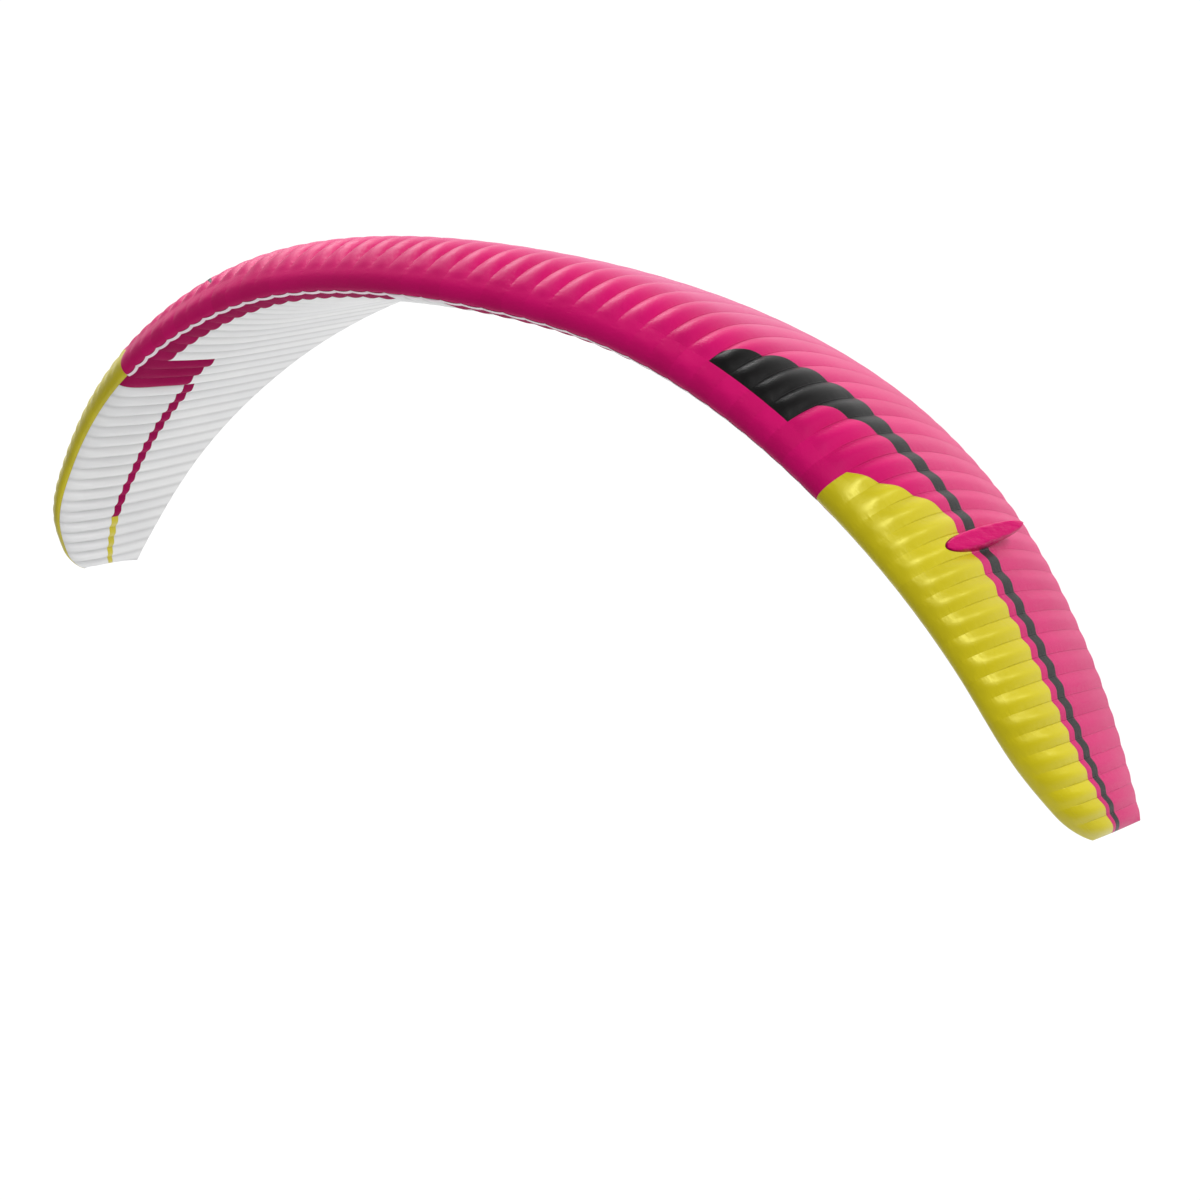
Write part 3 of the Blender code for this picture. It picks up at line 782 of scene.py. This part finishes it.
def blow_up_fin(name, side):
    """Leaf-shaped sections that shrink and lean back as they rise."""
    front, rear = FIN_ROOT
    facing = Vector(cloth_lines(side * FIN_CELL, math.sqrt((front + rear) / 2))[2])
    back = Vector((0, 1, 0))
    across = back.cross(facing).normalized()
    width = float(cell_width(FIN_CELL))

    def foot(along, sideways):
        around = math.sqrt(front + along * (rear - front))
        cells = side * FIN_CELL + sideways / width
        stand = bulge(np.array(cells), np.array(around)) + FIN_LIFT
        return Vector(seam_skin(cells, around) + cloth_lines(cells, around)[2] * stand - ORIGIN)

    def half_thickness(along, rise):
        if along < FIN_WIDEST:
            leaf = math.sqrt(1 - (1 - along / FIN_WIDEST) ** 2)
        else:
            leaf = 1 - ((along - FIN_WIDEST) / (1 - FIN_WIDEST)) ** 2
        return FIN_THICKNESS / 2 * leaf * math.sqrt(1 - FIN_THINNING * rise * rise)

    # A ring of points at each level, back along one side and forward along the other.
    mesh = bmesh.new()
    metres = mesh.loops.layers.uv.new("metres")
    stations = [(1 - math.cos(math.pi * i / FIN_STATIONS)) / 2 for i in range(FIN_STATIONS + 1)]
    order = list(range(FIN_STATIONS + 1)) + list(range(FIN_STATIONS - 1, 0, -1))
    rings = []
    for level in range(FIN_LEVELS):
        rise = level / (FIN_LEVELS - 1)
        tip_front = foot(0, 0) + facing * FIN_HEIGHT * rise + back * FIN_SWEEP * rise**FIN_LEAN
        ring = []
        for k, i in enumerate(order):
            wide = half_thickness(stations[i], rise) * (1 if k <= FIN_STATIONS else -1)
            if level == 0:
                ring.append(mesh.verts.new(foot(stations[i], wide)))
                continue
            middle = (foot(stations[i], 0) - foot(0, 0)) * (1 - rise**FIN_SHORTENING)
            length = back * (stations[i] * FIN_TIP_LENGTH) * rise
            ring.append(mesh.verts.new(tip_front + middle + length + across * wide))
        rings.append(ring)
    around_ring = len(order)
    for lower, upper in zip(rings, rings[1:]):
        for k in range(around_ring):
            n = (k + 1) % around_ring
            mesh.faces.new((lower[k], lower[n], upper[n], upper[k]))

    # The top closes flat, and the underside follows the crown of the cell.
    top, bottom = rings[-1], rings[0]
    for k in range(FIN_STATIONS):
        ends = (top[k], top[k + 1], top[around_ring - k - 1], top[(around_ring - k) % around_ring])
        mesh.faces.new(list(dict.fromkeys(ends)))
    crown = [bottom[0]] + [mesh.verts.new(foot(s, 0)) for s in stations[1:-1]] + [bottom[FIN_STATIONS]]
    for edge in (bottom, [bottom[(around_ring - i) % around_ring] for i in range(FIN_STATIONS + 1)]):
        for k in range(FIN_STATIONS):
            mesh.faces.new(list(dict.fromkeys((edge[k], edge[k + 1], crown[k + 1], crown[k]))))
    bmesh.ops.recalc_face_normals(mesh, faces=mesh.faces)
    for face in mesh.faces:
        face.smooth = True
        for loop in face.loops:
            loop[metres].uv = (loop.vert.co.y, loop.vert.co.z)
    data = bpy.data.meshes.new(name)
    mesh.to_mesh(data)
    mesh.free()

    # The whole fin is puckered as the skin is beside a seam.
    facts = {
        "to_seam": 0.012,
        "to_first": 0.05,
        "to_last": 0.05,
        "cell": side * FIN_CELL,
        "thinness": 0.0,
        "seam_shows": 0.0,
    }
    mark(data, facts)
    data.materials.append(fin_cloth)
    fin = placed(name, data)
    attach(fin, "root")
    return fin


for side_name, side in (("right", 1), ("left", -1)):
    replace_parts(blow_up_fin(f"fin_{side_name}_sewn", side), f"fin_{side_name}")


# ---- Floor and light
# A pale round floor far below the wing that melts into a soft white room. The room gives more light
# from behind the wing than from in front of it. One light stands high behind on the left, one in
# front on the right and a weaker one on the right side.

FLOOR_DROP = 16.0  # below the lowest point of the wing
FLOOR_SOLID, FLOOR_END = 12.0, 22.0  # metres from the middle: where it starts to melt, and its end
FLOOR_SIDES = 64
level_z = cad_box[0][2] - FLOOR_DROP
floor_turns = [2 * math.pi * corner / FLOOR_SIDES for corner in range(FLOOR_SIDES)]
floor_corners = [(FLOOR_END * math.cos(t), FLOOR_END * math.sin(t), level_z) for t in floor_turns]
floor_mesh = bpy.data.meshes.new("floor")
floor_mesh.from_pydata(floor_corners, [], [tuple(range(FLOOR_SIDES))])
floor = placed("floor", floor_mesh)
pale = bpy.data.materials.new("pale_floor")
pale.use_nodes = True
shade = pale.node_tree.nodes["Principled BSDF"]
shade.inputs["Base Color"].default_value = (0.72, 0.72, 0.72, 1)
shade.inputs["Roughness"].default_value = 1.0
shade.inputs["Specular IOR Level"].default_value = 0.0
place = wired(pale, "ShaderNodeTexCoord").outputs["Object"]
level_place = wired(pale, "ShaderNodeVectorMath", operation="MULTIPLY", in_0=place, in_1=(1, 1, 0))
away = wired(pale, "ShaderNodeVectorMath", operation="LENGTH", in_0=level_place.outputs["Vector"])
melt = wired(pale, "ShaderNodeMapRange", interpolation_type="SMOOTHSTEP", in_0=away.outputs["Value"])
melt.inputs[1].default_value, melt.inputs[2].default_value = FLOOR_SOLID, FLOOR_END
melt.inputs[3].default_value, melt.inputs[4].default_value = 1, 0
pale.node_tree.links.new(melt.outputs[0], shade.inputs["Alpha"])
floor_mesh.materials.append(pale)

ROOM_FRONT, ROOM_BACK = 0.30, 1.06  # light of the room from in front of the wing and from behind it
ROOM_TURN = (-0.3, 0.5)  # between these it changes from the one to the other
room = bpy.data.worlds.new("soft_room")
room.use_nodes = True
nodes, links = room.node_tree.nodes, room.node_tree.links
toward = nodes.new("ShaderNodeTexCoord")
parts = nodes.new("ShaderNodeSeparateXYZ")
links.new(toward.outputs["Generated"], parts.inputs[0])
fade = nodes.new("ShaderNodeMapRange")
fade.interpolation_type = "SMOOTHSTEP"
links.new(parts.outputs["Y"], fade.inputs["Value"])
room_light = (*ROOM_TURN, ROOM_FRONT, ROOM_BACK)
for socket, value in zip(("From Min", "From Max", "To Min", "To Max"), room_light):
    fade.inputs[socket].default_value = value
# The walls themselves look white all round.
white_walls = nodes.new("ShaderNodeMix")
links.new(nodes.new("ShaderNodeLightPath").outputs["Is Camera Ray"], white_walls.inputs["Factor"])
links.new(fade.outputs["Result"], white_walls.inputs["A"])
white_walls.inputs["B"].default_value = ROOM_BACK
links.new(white_walls.outputs["Result"], nodes["Background"].inputs["Strength"])
nodes["Background"].inputs["Color"].default_value = (1, 1, 1, 1)
bpy.context.scene.world = room


def far_light(name, toward_light, spread, power):
    """A light so far away that it comes from one side alone. Spread is its width in degrees."""
    lamp = bpy.data.lights.new(name, "SUN")
    lamp.angle, lamp.energy = math.radians(spread), power
    placed(name, lamp).rotation_euler = Vector(toward_light).to_track_quat("Z", "Y").to_euler()


far_light("key_light", (-0.62, 0.30, 0.72), 22, 2.2)
far_light("front_light", (0.58, -0.44, 0.69), 14, 1.65)
far_light("side_light", (0.71, 0.10, 0.67), 12, 0.5)


# ---- Camera
# The photograph looks at the wing from its front right, a little above the middle, and down. The
# lens is a slightly long one, about 63 mm for a picture 36 mm wide.

CAMERA_PLACE = Vector((10.148, -11.100, 0.867))
YAW, PITCH, ROLL = 0.6502, -0.1898, 0.0840  # radians
FOCAL_SHARE = 1.7453  # focal length over the picture's width
lens = bpy.data.cameras.new("camera")
lens.sensor_width = 36
lens.lens = FOCAL_SHARE * lens.sensor_width
lens.shift_x, lens.shift_y = 0.0030, -0.0020
lens.clip_end = 2000
camera = placed("camera", lens)
ahead = Vector((-math.sin(YAW) * math.cos(PITCH), math.cos(YAW) * math.cos(PITCH), math.sin(PITCH)))
level = Vector((math.cos(YAW), math.sin(YAW), 0))
upright = level.cross(ahead)
right = level * math.cos(ROLL) + upright * math.sin(ROLL)
above = upright * math.cos(ROLL) - level * math.sin(ROLL)
camera.matrix_world = Matrix(
    (
        (right.x, above.x, -ahead.x, CAMERA_PLACE.x),
        (right.y, above.y, -ahead.y, CAMERA_PLACE.y),
        (right.z, above.z, -ahead.z, CAMERA_PLACE.z),
        (0, 0, 0, 1),
    )
)
bpy.context.scene.camera = camera
bpy.context.scene.view_settings.view_transform = "Standard"
